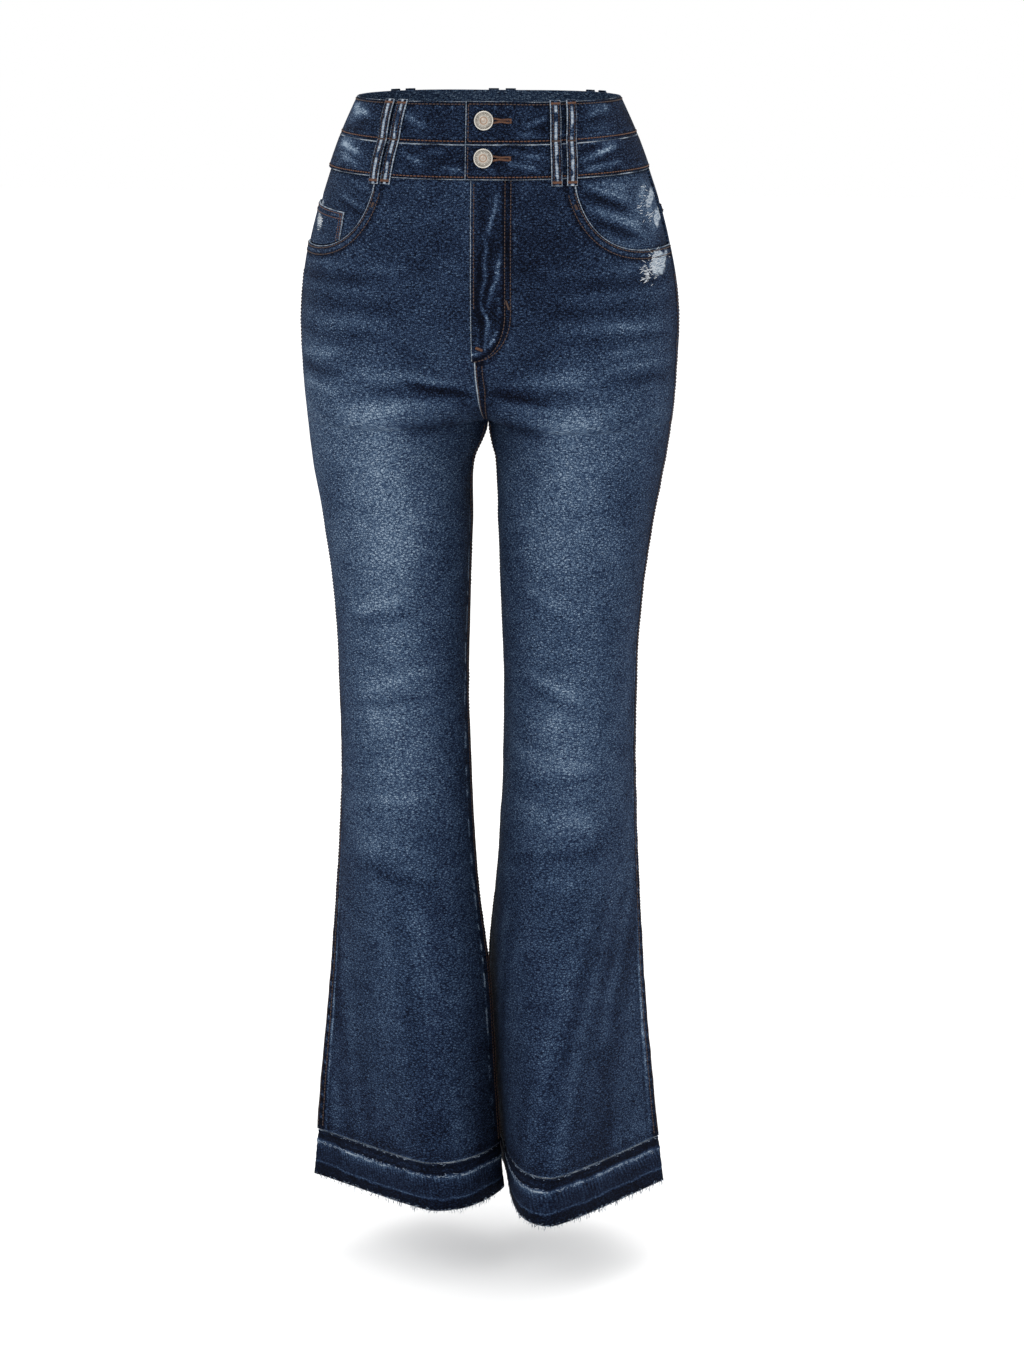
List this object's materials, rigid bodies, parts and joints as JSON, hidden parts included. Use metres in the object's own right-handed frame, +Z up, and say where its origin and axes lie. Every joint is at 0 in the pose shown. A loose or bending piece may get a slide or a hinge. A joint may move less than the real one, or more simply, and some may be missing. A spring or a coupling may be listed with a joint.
{
  "type": "flared jeans",
  "caption": "High-waisted flared jeans in worn shape, with scoop pockets, a lapped button fly front and let-down raw hems, held at the waist.",
  "frame": {"origin": "centre of the waist opening, level with the upper band's top edge", "axes": "+Z up the body, -Y the front of the garment, +X the wearer's left"},
  "size_m": [0.352, 0.2576, 1.0393],
  "materials": {
    "denim": "washed indigo stretch denim",
    "raw_denim": "unwashed dark indigo denim",
    "button_metal": "pale nickel"
  },
  "bodies": {
    "root": {"front_right": "denim", "back_right": "denim", "yoke_right": "denim", "pocket_facing_right": "denim", "back_pocket_right": "denim", "waistband_upper_right": "denim", "waistband_lower_right": "denim", "front_left": "denim", "back_left": "denim", "yoke_left": "denim", "pocket_facing_left": "denim", "back_pocket_left": "denim", "waistband_upper_left": "denim", "waistband_lower_left": "denim", "coin_pocket": "denim", "fly": "denim", "loop_front_right_1": "denim", "loop_front_right_2": "denim", "loop_back_right_1": "denim", "loop_back_right_2": "denim", "loop_front_left_1": "denim", "loop_front_left_2": "denim", "loop_back_left_1": "denim", "loop_back_left_2": "denim", "loop_centre_1": "denim", "loop_centre_2": "denim", "hem_front_right": "raw_denim", "hem_back_right": "raw_denim", "hem_front_left": "raw_denim", "hem_back_left": "raw_denim", "button_upper": "button_metal", "button_lower": "button_metal"}
  },
  "joints": []
}
